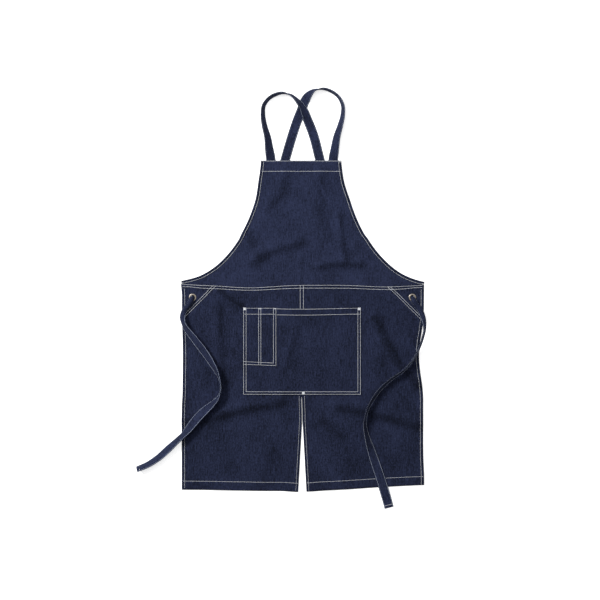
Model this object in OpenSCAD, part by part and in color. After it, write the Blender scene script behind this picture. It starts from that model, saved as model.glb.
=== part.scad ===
// Cross-back work apron, laid flat on its back with the front facing up.
// X runs across the apron, Y from the hem to the top of the bib, Z up from
// the surface. The origin is under the middle of the cloth. Millimetres.
// Layers from below: straps, folded hems, cloth, corner patches, pockets, ties.

/* [Outline] */
// Half of the width at the waist
half_w = 334; // [325:1:345]
// Half of the height, from the middle to the hem or to the top of the bib
half_h = 453.5; // [448:0.5:460]
// Half of the width of the bib's top edge
bib_half_w = 110; // [100:1:120]
// Height of the waist seam above the middle
waist_y = 110; // [108:1:112]
// Width of the gap between the two skirt flaps at the hem
slit_gap = 24; // [6:1:40]

/* [Cloth] */
// Thickness of one layer of cloth with its nap
cloth_t = 0.8; // [0.6:0.1:0.9]
// Thickness of a folded hem
hem_t = 2.9; // [2.6:0.1:3]
// Width of the side hems and of the slit hems
side_hem_w = 10; // [9:0.5:14]
// Height of the hem at the bottom edge
bottom_hem_h = 24; // [18:1:30]
// Height of the hem at the top of the bib
top_hem_h = 30; // [24:1:34]
// Width of the binding along an armhole
binding_w = 9; // [8:0.5:14]
// Leg length of a corner patch
patch_leg = 96; // [90:1:110]

/* [Pockets] */
// Width of the front pocket
pocket_w = 324; // [300:2:340]
// Height of the front pocket
pocket_h = 238; // [230:1:240]
// Width of the pen pocket
pen_w = 92; // [80:1:110]
// Height of the pen pocket
pen_h = 157; // [120:1:180]
// Depth that a pocket holds open
pocket_gap = 5; // [4.6:0.1:6]
// Width of a pocket's sewn margin
margin_w = 8; // [7:0.5:10]

/* [Straps and eyelets] */
// Width of a strap
strap_w = 26; // [24:1:28]
// Thickness of a strap
strap_t = 1.4; // [1:0.1:1.4]
// Outer diameter of an eyelet's flange
flange_d = 21.5; // [20:0.5:23]
// Diameter of an eyelet's bore
bore_d = 12; // [11.5:0.5:12.5]

/* [Thread] */
// Width of a line of stitches
thread_w = 1; // [0.8:0.1:1.2]
// Height of a line of stitches above the cloth
thread_t = 0.4; // [0.2:0.1:0.4]
// Distance between the two lines of a double seam
twin_gap = 8; // [6:0.5:9]

/* [Hidden] */

denim = [0.16, 0.17, 0.26];
denim_dark = [0.12, 0.13, 0.2];
thread = [0.85, 0.83, 0.78];
nickel = [0.62, 0.58, 0.5];

LEFT = -1;
RIGHT = 1;
gap = 0.4;                          // air between cloth that folds apart
seam_x = -2;                        // centre seam and slit
fold_y = waist_y - 308;             // line where the flaps fold
closed_y = -270;                    // the slit is shut down to here
cloth_z = hem_t;                    // underside of the cloth
front_z = cloth_z + cloth_t;        // front face of the cloth
patch_z = front_z + cloth_t;        // front face of a corner patch
pocket_l = -163.5;                  // left edge of both pockets
pocket_top = 47.5;
pocket_z = front_z + pocket_gap + cloth_t;
pen_z = pocket_z + pocket_gap + cloth_t;
eyelet_x = 302;
eyelet_y = 77;
barrel_d = bore_d + 1.2;
hole_d = barrel_d + 0.2;
washer_t = 1;
flange_t = 1.2;
plug_d = bore_d - 1;
tie_z = 6.2;                        // underside of a tie above its eyelet
tack_t = 0.6;

// Rings of the straps and ties: x, y, share of the strap's width, roll in degrees, and
// lift above the surface. At roll 0 the front face is up, at 90 it stands on its edge.
left_loop = [
    [-86, 426, 1, 0, 0], [-87, 454, 1, 0, 0], [-91, 482, 1, 25, 0], [-96, 518, 1, 45, 0],
    [-104, 548, 1, 62, 0], [-108.5, 580, 1, 74, 0], [-106, 603, 1, 78, 0],
    [-92, 622, 1, 82, 0], [-71, 633, 1, 86, 0], [-54, 637, 1, 92, 0],
    [-34, 632, 1, 115, 0], [-20, 621, 1, 150, 1.8], [-10, 610, 1, 180, 1.8],
    [0, 597, 1, 180, 1.8], [16, 564, 1, 180, 1.8], [29, 529, 1, 180, 0],
    [47, 458, 1, 180, 0], [70, 372, 1, 180, 0], [100, 300, 1, 180, 0],
    [145, 235, 1, 180, 0], [200, 168, 1, 180, 0], [257, 110.5, 1.62, 180, 0]
];
right_loop = [
    [84, 426, 1, 0, 0], [84, 454, 1, 0, 0], [88, 482, 1, -25, 0], [94, 518, 1, -45, 0],
    [103, 548, 1, -62, 0], [109, 580, 1, -76, 0], [109, 604, 1, -82, 0],
    [99, 624, 1, -86, 0], [79, 641, 1, -90, 0], [54, 648.5, 1, -95, 0],
    [32, 644, 1, -115, 0], [16, 631, 1, -150, 0], [6, 616, 1, -180, 0],
    [-1, 597, 1, -180, 0], [-15, 562, 1, -180, 0], [-26, 529, 1, -180, 0],
    [-47, 458, 1, -180, 0], [-70, 372, 1, -180, 0], [-100, 300, 1, -180, 0],
    [-145, 235, 1, -180, 0], [-200, 168, 1, -180, 0], [-257, 110.5, 1.62, -180, 0]
];
left_tail = [
    [-305, 71, 0.42, 0, 6.2], [-313, 57, 0.42, 0, 6.2], [-325, 42, 0.42, 20, 5.4],
    [-331, 22, 0.54, 60, 5.2], [-328, 5, 1, 75, 5], [-316, -15, 1, 60, 5],
    [-297, -37, 1, 50, 5], [-274, -68, 1, 42, 5], [-254, -97, 1, 38, 5],
    [-238, -125, 1, 50, 5], [-227, -152, 1, 72, 5], [-224, -176, 1, 86, 5],
    [-230, -200, 1, 68, 5], [-245, -222, 1, 38, 5], [-267, -243, 1, 12, 5],
    [-322, -293, 1, 0, 4.8], [-345, -316, 1, 0, 4.8], [-372, -342, 1, 0, 0.6],
    [-402, -365, 1, 0, 0], [-455, -392, 1, 0, 0]
];
right_tail = [
    [304, 71, 0.42, 0, 6.2], [312, 57, 0.42, 0, 6.2], [324, 42, 0.42, -20, 5.4],
    [333, 20, 0.5, -60, 5.2], [337, -8, 1, -80, 5], [328, -46, 1, -75, 5],
    [314, -71, 1, -65, 5], [296, -94, 1, -60, 5], [246, -138, 1, -60, 5],
    [220, -160, 1, -62, 5], [198, -186, 1, -68, 5], [180, -214, 1, -72, 5],
    [171, -244, 1, -68, 5], [169, -275, 1, -45, 5], [176, -313, 1, -20, 5],
    [189, -349, 1, 0, 4.8], [219, -432, 1, 0, 4.8], [229, -462, 1, 0, 4.8],
    [235, -480, 1, 0, 0], [240, -497, 1, 0, 0]
];

// --- Outline ---

function clamp01(v) = max(0, min(1, v));
function ease(v) = let (c = clamp01(v)) c * c * (3 - 2 * c);

// Side edge of the skirt: both sides run in a little, the right one dips at hip height
function side_x(side, y) =
    let (
        run_in = (side == RIGHT ? 5.4 : 2) * ease((waist_y - y) / 300),
        dip = (side == RIGHT ? 12 : 1) * pow(cos(90 * clamp01(abs(y + 65) / 150)), 2)
    ) side * (half_w - run_in - dip);

// Inner edge of a flap along the slit
function slit_x(side, y) =
    seam_x + side * (gap + slit_gap / 2 * clamp01((closed_y - y) / (half_h + closed_y)));

function side_edge(side, y_low, y_high, inset, steps = 12) =
    [for (i = [0:steps]) let (y = y_low + (y_high - y_low) * i / steps) [side_x(side, y) - side * inset, y]];

function reversed(list) = [for (i = [len(list) - 1:-1:0]) list[i]];

// Armhole edge, from the top of the bib to the waist corner, moved in by inset
arm_knots = [[bib_half_w, half_h], [bib_half_w + 6, 300], [203, 154], [half_w, waist_y]];
function bezier(k, t) =
    pow(1 - t, 3) * k[0] + 3 * t * pow(1 - t, 2) * k[1] + 3 * t * t * (1 - t) * k[2] + pow(t, 3) * k[3];
function bezier_dir(k, t) =
    pow(1 - t, 2) * (k[1] - k[0]) + 2 * t * (1 - t) * (k[2] - k[1]) + t * t * (k[3] - k[2]);
function armhole(inset, steps = 24) =
    [for (i = [0:steps])
        let (d = bezier_dir(arm_knots, i / steps), n = [d[1], -d[0]] / norm(d))
        bezier(arm_knots, i / steps) + inset * n];

// --- Ribbons ---

// Eight corners of a ribbon's section: w across, strap_t thick, with eased edges
function section(w) =
    let (a = w / 2, b = w / 2 - strap_t / 3, c = strap_t / 4, d = strap_t / 2)
    [[a, -c], [a, c], [b, d], [-b, d], [-a, c], [-a, -c], [-b, -d], [b, -d]];

function heading(route, i, last_dir) =
    i == len(route) - 1 && last_dir != undef ? last_dir
    : let (
        a = route[max(0, i - 1)],
        b = route[min(len(route) - 1, i + 1)],
        d = [b[0] - a[0], b[1] - a[1]]
    ) d / norm(d);

function ribbon_ring(stop, dir) =
    let (
        roll = stop[3],
        side = [-dir[1], dir[0], 0],
        up = [0, 0, 1],
        u = cos(roll) * side + sin(roll) * up,
        v = cos(roll) * up - sin(roll) * side,
        w = stop[2] * strap_w,
        rise = w / 2 * abs(sin(roll)) + strap_t / 2 * abs(cos(roll)),
        centre = [stop[0], stop[1], stop[4] + rise]
    ) [for (p = section(w)) centre + p[0] * u + p[1] * v];

// Half of a wall's four-cornered face: the front and back split the same way, so that
// a twisted stretch keeps its thickness
function wall(a, b, c, d, front, half) =
    front ? (half == 0 ? [a, b, c] : [a, c, d]) : (half == 0 ? [a, b, d] : [b, c, d]);

module ribbon(route, last_dir = undef) {
    rings = [for (i = [0:len(route) - 1]) ribbon_ring(route[i], heading(route, i, last_dir))];
    points = [for (ring = rings) for (p = ring) p];
    walls = [for (i = [0:len(rings) - 2]) for (j = [0:7]) for (half = [0, 1])
        wall(8 * i + j, 8 * i + (j + 1) % 8, 8 * (i + 1) + (j + 1) % 8, 8 * (i + 1) + j, j < 4, half)];
    first = [for (j = [7:-1:0]) j];
    last = [for (j = [0:7]) 8 * (len(rings) - 1) + j];
    polyhedron(points, concat(walls, [first], [last]), convexity = 6);
}

// --- Small helpers ---

module block(x0, y0, z0, x1, y1, z1) {
    translate([x0, y0, z0]) cube([x1 - x0, y1 - y0, z1 - z0]);
}

module plate(points, z0, z1) {
    translate([0, 0, z0]) linear_extrude(z1 - z0) polygon(points);
}

// A line of stitches through the points, lying on the face at height z
module stitches(points, z) {
    for (i = [0:len(points) - 2]) {
        run = points[i + 1] - points[i];
        translate([points[i][0], points[i][1], z])
            rotate([0, 0, atan2(run[1], run[0])])
                translate([0, -thread_w / 2, 0]) cube([norm(run), thread_w, thread_t]);
    }
}

module eyelet_hole(side, z0, z1) {
    translate([side * eyelet_x, eyelet_y, z0 - 1]) cylinder(d = hole_d, h = z1 - z0 + 2, $fn = 48);
}

// --- Skirt ---

module skirt_panel(side) {
    edge = side_edge(side, fold_y, waist_y, 0);
    color(denim) difference() {
        plate(concat(edge, [[seam_x, waist_y], [seam_x, fold_y]]), cloth_z, front_z);
        eyelet_hole(side, cloth_z, front_z);
    }
}

module side_hem(side) {
    outer = side_edge(side, fold_y, waist_y, 0);
    inner = side_edge(side, fold_y, waist_y, side_hem_w);
    color(denim_dark) plate(concat(outer, reversed(inner)), 0, cloth_z);
}

module corner_patch(side) {
    outer = side_edge(side, waist_y - patch_leg, waist_y, 0, 4);
    color(denim) difference() {
        plate(concat(outer, [[side * (half_w - patch_leg), waist_y]]), front_z, patch_z);
        eyelet_hole(side, front_z, patch_z);
    }
}

// Flange with a rounded lip, barrel through the cloth, and the rolled lower end
module eyelet(side) {
    bore = bore_d / 2;
    barrel = barrel_d / 2;
    roll_z = cloth_z - washer_t;
    lip = flange_t / 2;
    color(nickel) translate([side * eyelet_x, eyelet_y, 0]) rotate_extrude($fn = 64) {
        translate([bore, roll_z - 0.3]) square([barrel - bore, patch_z - roll_z + 0.5]);
        translate([bore, roll_z - 0.35]) square([1.8, 0.35]);
        translate([bore + lip, patch_z]) square([flange_d / 2 - bore - 2 * lip, flange_t]);
        translate([flange_d / 2 - lip, patch_z + lip]) circle(r = lip, $fn = 24);
        translate([bore + lip, patch_z + lip]) circle(r = lip, $fn = 24);
    }
}

module eyelet_washer(side) {
    color(nickel) translate([side * eyelet_x, eyelet_y, cloth_z - washer_t]) difference() {
        cylinder(d = flange_d - 1, h = washer_t, $fn = 64);
        translate([0, 0, -1]) cylinder(d = hole_d, h = washer_t + 2, $fn = 64);
    }
}

// The stretch of a strap between the waist seam and its eyelet, and up through the bore
module strap_run(side) {
    start = [side * 257, waist_y];
    stop = [side * eyelet_x, eyelet_y];
    dir = (stop - start) / norm(stop - start);
    across = strap_w / 2 * [-dir[1], dir[0]];
    cut = [strap_w / 2 / abs(dir[1]), 0];
    color(denim_dark) {
        plate([start - side * cut, start + side * cut, stop + side * across, stop - side * across], 0, strap_t);
        translate([stop[0], stop[1], 0]) cylinder(d = strap_w, h = strap_t, $fn = 48);
        translate([stop[0], stop[1], 0]) cylinder(d = plug_d, h = tie_z - 0.1, $fn = 48);
    }
}

// --- Pockets ---

// A pocket open at the top: its sewn margins hold the front sheet off the cloth behind
module pocket(left, right, bottom, top, z0, z1, dividers = []) {
    difference() {
        block(left, bottom, z0, right, top, z1);
        difference() {
            block(left + margin_w, bottom + margin_w, z0 - 1, right - margin_w, top + 1, z1 - cloth_t);
            for (x = dividers) block(x - margin_w / 2, bottom, z0 - 2, x + margin_w / 2, top, z1);
        }
    }
}

pocket_r = pocket_l + pocket_w;
pocket_bottom = pocket_top - pocket_h;
pen_r = pocket_l + pen_w;
pen_bottom = pocket_top - pen_h;
divider_x = pocket_l + pen_w / 2;

module pocket_panel() {
    color(denim) pocket(pocket_l, pocket_r, pocket_bottom, pocket_top, front_z, pocket_z);
}

module pen_pocket() {
    color(denim) pocket(pocket_l, pen_r, pen_bottom, pocket_top, pocket_z, pen_z, [divider_x]);
}

module tack(x, y, z, size) {
    color(thread) block(x - size / 2, y - size / 2, z, x + size / 2, y + size / 2, z + tack_t);
}

module pocket_left_tack() { tack(pocket_l + 14, pocket_top - 5.5, pen_z + thread_t, 8); }
module pocket_right_tack() { tack(pocket_r - 14, pocket_top - 5.5, pocket_z + thread_t, 8); }
module slit_tack() { tack(seam_x + 4, pocket_bottom + 5, pocket_z + thread_t, 7); }

// --- Stitching on the skirt ---

module waist_stitching() {
    reach = half_w - patch_leg - 1;
    color(thread) for (drop = [2, 9]) {
        stitches([[-reach + drop, waist_y - drop], [reach - drop, waist_y - drop]], front_z);
        for (side = [LEFT, RIGHT])
            stitches([[side * (reach + 3 + drop), waist_y - drop], [side * (half_w - 8), waist_y - drop]], patch_z);
    }
}

module centre_seam_stitching() {
    color(thread) for (side = [LEFT, RIGHT])
        stitches([[seam_x + side * 4.4, waist_y - 11], [seam_x + side * 4.4, pocket_top + 1]], front_z);
}

module pocket_stitching() {
    color(thread) for (inset = [1.5, 1.5 + twin_gap - 1]) {
        left = pocket_l + inset;
        right = pocket_r - inset;
        bottom = pocket_bottom + inset;
        stitches([[left, pen_bottom - 1], [left, bottom], [right, bottom], [right, pocket_top - 1]], pocket_z);
    }
    color(thread) for (drop = [1.5, 18])
        stitches([[pen_r + 1, pocket_top - drop], [pocket_r - 2, pocket_top - drop]], pocket_z);
}

module pen_pocket_stitching() {
    color(thread) {
        for (inset = [1.5, 1.5 + twin_gap - 1]) {
            stitches([[pocket_l + inset, pocket_top - 1], [pocket_l + inset, pen_bottom + 1]], pen_z);
            stitches([[pocket_l + 1, pen_bottom + inset], [pen_r - inset, pen_bottom + inset],
                [pen_r - inset, pocket_top - 1]], pen_z);
        }
        for (side = [LEFT, RIGHT])
            stitches([[divider_x + side * 3, pen_bottom + 9], [divider_x + side * 3, pocket_top - 1]], pen_z);
        stitches([[pocket_l + 1, pocket_top - 18], [pen_r - 1, pocket_top - 18]], pen_z);
    }
}

module patch_stitching() {
    color(thread) for (side = [LEFT, RIGHT]) for (inset = [2, 7.5]) {
        top = [side * (half_w - patch_leg + 11 + 1.4 * inset), waist_y - 11];
        low = [side_x(side, waist_y - patch_leg) - side * 11, waist_y - patch_leg + 11 + 1.4 * inset];
        stitches([top, low], patch_z);
    }
}

module side_hem_stitching() {
    color(thread) for (side = [LEFT, RIGHT])
        stitches(side_edge(side, fold_y + 1, waist_y - patch_leg - 1, side_hem_w - 2, 8), front_z);
}

// --- Bib ---

module above_waist() {
    intersection() {
        children();
        block(-half_w - 1, waist_y + gap, -1, half_w + 1, half_h + 1, front_z + 9);
    }
}

module bib_panel() {
    right = armhole(0);
    left = reversed([for (p = right) [-p[0], p[1]]]);
    color(denim) above_waist() plate(concat(right, left), cloth_z, front_z);
}

module bib_top_hem() {
    w = bib_half_w - binding_w - 0.5;
    color(denim_dark) block(-w, half_h - top_hem_h, strap_t + 0.1, w, half_h, cloth_z);
}

module armhole_binding(side) {
    strip = concat(armhole(0), reversed(armhole(binding_w)));
    color(denim_dark) above_waist() plate([for (p = strip) [side * p[0], min(p[1], half_h)]], 0, cloth_z);
}

module armhole_stitching() {
    line = [for (p = armhole(binding_w - 3)) if (p[1] > waist_y + 2 && p[1] < half_h - 1) p];
    color(thread) for (side = [LEFT, RIGHT])
        stitches([for (p = line) [side * p[0], p[1]]], front_z);
}

module bib_hem_stitching() {
    w = bib_half_w - binding_w + 1;
    color(thread) for (drop = [1.5, top_hem_h])
        stitches([[-w, half_h - drop], [w, half_h - drop]], front_z);
}

// Shoulder straps: sewn under the top hem, looped over, crossed, and run behind the bib
module left_shoulder_strap() { color(denim) ribbon(left_loop, [0, -1]); }
module right_shoulder_strap() { color(denim) ribbon(right_loop, [0, -1]); }

// --- Flaps ---

flap_top = fold_y - gap;
function slit_edge(side, inset) =
    [for (y = [flap_top, closed_y, -half_h]) [slit_x(side, y) + side * inset, y]];

module flap_panel(side) {
    color(denim) plate(concat(side_edge(side, -half_h, flap_top, 0), slit_edge(side, 0)), cloth_z, front_z);
}

module flap_hem(side) {
    top = bottom_hem_h - half_h;
    color(denim_dark) plate([
        [slit_x(side, -half_h) + side * side_hem_w, -half_h], [side_x(side, -half_h) - side * side_hem_w, -half_h],
        [side_x(side, top) - side * side_hem_w, top], [slit_x(side, top) + side * side_hem_w, top]
    ], 0, cloth_z);
}

module flap_edge_hems(side) {
    outer = side_edge(side, -half_h, flap_top, 0);
    inner = side_edge(side, -half_h, flap_top, side_hem_w);
    color(denim_dark) {
        plate(concat(outer, reversed(inner)), 0, cloth_z);
        plate(concat(slit_edge(side, 0), reversed(slit_edge(side, side_hem_w))), 0, cloth_z);
    }
}

module flap_stitching(side) {
    low = -half_h + bottom_hem_h;
    color(thread) {
        stitches(side_edge(side, -half_h + 1, flap_top - 1, side_hem_w - 2, 6), front_z);
        stitches([for (y = [flap_top - 1, closed_y, -half_h + 1]) [slit_x(side, y) + side * 8, y]], front_z);
        stitches([[slit_x(side, low) + side, low], [side_x(side, low) - side, low]], front_z);
    }
}

// --- Ties ---

// The thread bar that closes a tie's turned end
module end_bar(route) {
    tip = [for (k = [0, 1]) route[len(route) - 1][k]];
    back = [for (k = [0, 1]) route[len(route) - 2][k]];
    dir = (back - tip) / norm(back - tip);
    half = 0.42 * strap_w * [-dir[1], dir[0]];
    stitches([tip + 7 * dir - half, tip + 7 * dir + half], strap_t);
}

skirt_panel(LEFT);  // left_skirt_panel
skirt_panel(RIGHT);  // right_skirt_panel
side_hem(LEFT);  // left_side_hem
side_hem(RIGHT);  // right_side_hem
corner_patch(LEFT);  // left_corner_patch
corner_patch(RIGHT);  // right_corner_patch
eyelet(LEFT);  // left_eyelet
eyelet(RIGHT);  // right_eyelet
eyelet_washer(LEFT);  // left_eyelet_washer
eyelet_washer(RIGHT);  // right_eyelet_washer
strap_run(LEFT);  // left_strap_run
strap_run(RIGHT);  // right_strap_run
pocket_panel();
pen_pocket();
pocket_left_tack();
pocket_right_tack();
slit_tack();
waist_stitching();
centre_seam_stitching();
pocket_stitching();
pen_pocket_stitching();
patch_stitching();
side_hem_stitching();
bib_panel();
bib_top_hem();
armhole_binding(LEFT);  // left_armhole_binding
armhole_binding(RIGHT);  // right_armhole_binding
left_shoulder_strap();
right_shoulder_strap();
armhole_stitching();
bib_hem_stitching();
flap_panel(LEFT);  // left_flap_panel
flap_hem(LEFT);  // left_flap_hem
flap_edge_hems(LEFT);  // left_flap_edge_hems
flap_stitching(LEFT);  // left_flap_stitching
flap_panel(RIGHT);  // right_flap_panel
flap_hem(RIGHT);  // right_flap_hem
flap_edge_hems(RIGHT);  // right_flap_edge_hems
flap_stitching(RIGHT);  // right_flap_stitching
color(denim) ribbon(left_tail);  // left_tie
color(thread) end_bar(left_tail);  // left_tie_tack
color(denim) ribbon(right_tail);  // right_tie
color(thread) end_bar(right_tail);  // right_tie_tack
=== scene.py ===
"""A cross-back denim apron lying flat: cloth sheets with their seams, folded hems, pockets,
crossed shoulder straps that pass through two eyelets and end as waist ties.

Shapes are worked out in millimetres, and to_mesh() turns them into metres."""
import math

import bpy
import numpy as np
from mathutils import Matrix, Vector
from mathutils.bvhtree import BVHTree


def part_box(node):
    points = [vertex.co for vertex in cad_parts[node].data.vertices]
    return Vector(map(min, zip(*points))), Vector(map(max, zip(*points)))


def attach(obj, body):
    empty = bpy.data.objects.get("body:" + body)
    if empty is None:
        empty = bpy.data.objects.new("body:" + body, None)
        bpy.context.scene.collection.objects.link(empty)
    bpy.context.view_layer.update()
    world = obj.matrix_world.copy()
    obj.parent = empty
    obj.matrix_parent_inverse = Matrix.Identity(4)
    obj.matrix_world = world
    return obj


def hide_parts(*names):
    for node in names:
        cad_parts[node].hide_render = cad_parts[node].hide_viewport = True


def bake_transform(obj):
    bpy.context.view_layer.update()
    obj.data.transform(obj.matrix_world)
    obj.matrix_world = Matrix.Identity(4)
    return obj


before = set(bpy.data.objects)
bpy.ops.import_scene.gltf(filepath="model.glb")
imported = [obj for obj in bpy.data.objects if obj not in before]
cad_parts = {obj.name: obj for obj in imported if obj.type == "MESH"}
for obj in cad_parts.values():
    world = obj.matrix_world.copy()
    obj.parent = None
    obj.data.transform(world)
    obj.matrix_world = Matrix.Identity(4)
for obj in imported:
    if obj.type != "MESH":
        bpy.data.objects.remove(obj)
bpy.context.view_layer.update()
bpy.ops.object.select_all(action="DESELECT")

MM = 0.001
LEFT, RIGHT = -1, 1
SIDE_NAMES = {LEFT: "left", RIGHT: "right"}


def cad(node):
    """A CAD node's lowest and highest corners, in millimetres."""
    low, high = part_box(node)
    return np.array(low) / MM, np.array(high) / MM


# ---------------------------------------------------------------- places from the frame

HALF_W = abs(cad("left_corner_patch")[0][0])
HALF_H = cad("bib_panel")[1][1]
WAIST = cad("left_skirt_panel")[1][1]
FOLD = cad("left_skirt_panel")[0][1]
BIB_HALF_W = cad("bib_top_hem")[1][0] + 9.5
SEAM_X = cad("left_skirt_panel")[1][0]
POCKET = [*cad("pocket_panel")[0][:2], *cad("pocket_panel")[1][:2]]
PEN = [*cad("pen_pocket")[0][:2], *cad("pen_pocket")[1][:2]]
EYELETS = {side: (cad(f"{SIDE_NAMES[side]}_eyelet")[0] + cad(f"{SIDE_NAMES[side]}_eyelet")[1])[:2] / 2
           for side in (LEFT, RIGHT)}
CLOSED_Y = -261.0          # the slit is shut down to here
SLIT_GAP = 21.2            # its width at the hem
HEM_H = 24.0               # height of the bottom hem
SIDE_HEM = 10.0            # width of the side and slit hems
TOP_HEM = 30.0             # height of the bib's top hem
PATCH_LEG = {LEFT: 100.0, RIGHT: 105.0}
STRAP_W = 26.0
CLOTH_T = 0.9              # thickness of one layer
LIE_Z = 2.5                # front of the cloth where it lies flat
PATCH_FRONT = cad("left_corner_patch")[1][2]
BACK_GAP = 0.3             # air under the lowest layer
LOWEST = 0.05              # nothing comes nearer the ground than this
HEM_T = 1.5                # the turned layers of a hem
HEM_GAP = 0.1              # between them and the cloth
HEM_WEAR = 0.2
SIDE_ROW = 8.0             # rows of stitches, in from the side edge,
SLIT_ROW = 7.0             # from the edge of the slit,
SEAM_ROW = 4.4             # and from the centre seam
MOUTH_RISE = 1.6           # the corners of a pocket's mouth stand this far above its box
POCKET_SAG = 2.6           # and the front pocket's hangs this far below them


def ease(v):
    """0 below 0, 1 above 1, and smooth between them."""
    c = np.clip(v, 0, 1)
    return c * c * (3 - 2 * c)


def side_x(side, y):
    """Side edge of the skirt: both sides run in a little, the right one dips at hip height."""
    if side == RIGHT:
        run_in = 2.2 * ease((WAIST - y) / 200) - 2.5 * ease((-340 - y) / 90)
    else:
        run_in = 2.4 * ease((WAIST - y) / 30) + 1.4 * ease((60 - y) / 150) - 1.8 * ease((-180 - y) / 50)
    dip = (11.5 if side == RIGHT else 1.0) * np.cos(np.pi / 2 * np.clip(abs(y + 84) / 122, 0, 1)) ** 2
    return side * (HALF_W - run_in - dip)


def slit_x(side, y):
    """Inner edge of a skirt half: the centre seam, then the slit."""
    opening = np.clip((CLOSED_Y - y) / (HALF_H + CLOSED_Y), 0, 1)
    return SEAM_X + 1.4 * ease((FOLD - y) / 50) + side * (0.4 * ease((FOLD - y) / 6) + SLIT_GAP / 2 * opening)


def hem_y(side, x):
    """Bottom edge of a skirt half: the right one rises outwards, and both dip at the slit."""
    if side == LEFT:
        return -HALF_H - 1.5 + 3.5 * ease((-x - 60) / 280) - 3 * ease(1 + x / 60)
    return -HALF_H - 1.5 + 17.0 * ease((x + 10) / 400) ** 0.9 - 2 * ease(1 - x / 60)


CORNER_H = 8.0             # the armhole ends this far above the waist seam
ARM_KNOTS = np.array([[BIB_HALF_W, HALF_H], [BIB_HALF_W + 11, 306], [197, 146], [HALF_W, WAIST + CORNER_H]])
ARM_LENGTH = 344           # along the armhole edge, for spacing the bib's rows


def armhole(t):
    """Points along the right armhole edge, from the top of the bib to the waist corner."""
    t = np.asarray(t, float)[..., None]
    k = ARM_KNOTS
    return (1 - t) ** 3 * k[0] + 3 * t * (1 - t) ** 2 * k[1] + 3 * t * t * (1 - t) * k[2] + t ** 3 * k[3]


ARM_LINE = armhole(np.linspace(0, 1, 160))


def swell(v, at, size, reach):
    """A smooth hump of this size, centred at a place and fading within its reach."""
    return size * np.exp(-((v - at) / reach) ** 2)


def leaned(x, y):
    """Place across once the bib's lean is in it: a little right at first, then left up to its top."""
    lean = 2.8 * ease((y - WAIST) / 20) - 2.2 * ease((y - 235) / 20) - 4.5 * ease((y - 335) / 70)
    return x + lean


def waved(x, y):
    """Height on the sheet once the waist seam's wave is in it: two dips, and a left end that turns up."""
    wave = 2.5 - swell(x, -145, 7, 85) - swell(x, 228, 4.6, 75) + 2 * ease((-x - 280) / 40)
    reach = np.where(y > WAIST, 70, 26)
    return y + wave * (1 - ease((abs(y - WAIST) - 3) / reach))


def run_along(points):
    """Distance along a line of points, from its first one."""
    return np.concatenate([[0], np.cumsum(np.linalg.norm(np.diff(points, axis=0), axis=1))])


def arm_inset(inset):
    """The armhole edge moved in by inset."""
    d = np.gradient(ARM_LINE, axis=0)
    n = np.stack([d[:, 1], -d[:, 0]], 1) / np.linalg.norm(d, axis=1)[:, None]
    return ARM_LINE + inset * n


# ---------------------------------------------------------------- routes of the straps

# x, y, share of the strap's width that shows, roll in degrees, lift above the surface
LEFT_LOOP = [
    (-86, 426, 1, 0, 0), (-87, 454, 1, 0, 0), (-91, 482, 1, 25, 0), (-96, 518, 1, 45, 0),
    (-104, 548, 1, 55, 0), (-108.5, 580, 1, 64, 0), (-106, 603, 1, 70, 0),
    (-92, 622, 0.94, 75, 0), (-71, 633, 0.84, 77, 0), (-54, 636.5, 0.8, 86, 0),
    (-34, 632, 0.84, 107, 1.5), (-20, 622, 0.96, 117, 4), (-10, 611, 1, 128, 6),
    (0, 597, 1, 143, 4.5), (14, 564, 1, 166, 2), (28, 529, 1, 180, 0),
    (47, 458, 1, 180, 0), (70, 372, 1, 180, 0), (100, 300, 1, 180, 0),
    (145, 235, 1, 180, 0), (200, 168, 1, 180, 0), (257, 110.5, 1, 180, 0), (301, 77, 1, 180, 0),
]
RIGHT_LOOP = [
    (84, 426, 1, 0, 0), (84, 454, 1, 0, 0), (88, 482, 1, -25, 0), (94, 518, 1, -41, 0),
    (103, 548, 1, -53, 0), (110, 578, 1, -63, 0), (110, 603, 1, -71, 0),
    (100, 624, 0.94, -77, 0), (79, 640.5, 0.84, -80, 0), (54, 648, 0.8, -89, 0),
    (32, 644, 0.9, -115, 0), (16, 631, 1, -150, 0), (6, 616, 1, -180, 0),
    (-1, 597, 1, -180, 0), (-15, 562, 1, -180, 0), (-26, 529, 1, -180, 0),
    (-47, 458, 1, -180, 0), (-70, 372, 1, -180, 0), (-100, 300, 1, -180, 0),
    (-145, 235, 1, -180, 0), (-200, 168, 1, -180, 0), (-257, 110.5, 1, -180, 0),
    (-301, 77, 1, -180, 0),
]
LEFT_TAIL = [
    (-305, 71, 0.42, 0, 6.2), (-313, 57, 0.42, 0, 6.2), (-325, 42, 0.42, 20, 5.4),
    (-331, 22, 0.54, 45, 5.2), (-327, 5, 0.8, 58, 5), (-316, -12, 1, 48, 5),
    (-297, -36, 1, 38, 5), (-272, -69, 1, 34, 5), (-252, -98, 1, 44, 5),
    (-236, -125, 1, 62, 5), (-226.5, -150, 1, 80, 5), (-224, -174, 1, 88, 5),
    (-231, -197, 1, 74, 5), (-246, -214, 1, 54, 5), (-266, -231, 1, 34, 5),
    (-289, -254, 1, 22, 5), (-309, -279, 1, 34, 4.8), (-325, -298, 1, 52, 4.8),
    (-343, -315, 1, 52, 3), (-370, -340, 1, 42, 1), (-396, -363, 1, 46, 0),
    (-423, -380, 0.9, 52, 0), (-455, -393, 0.8, 56, 0),
]
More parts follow.
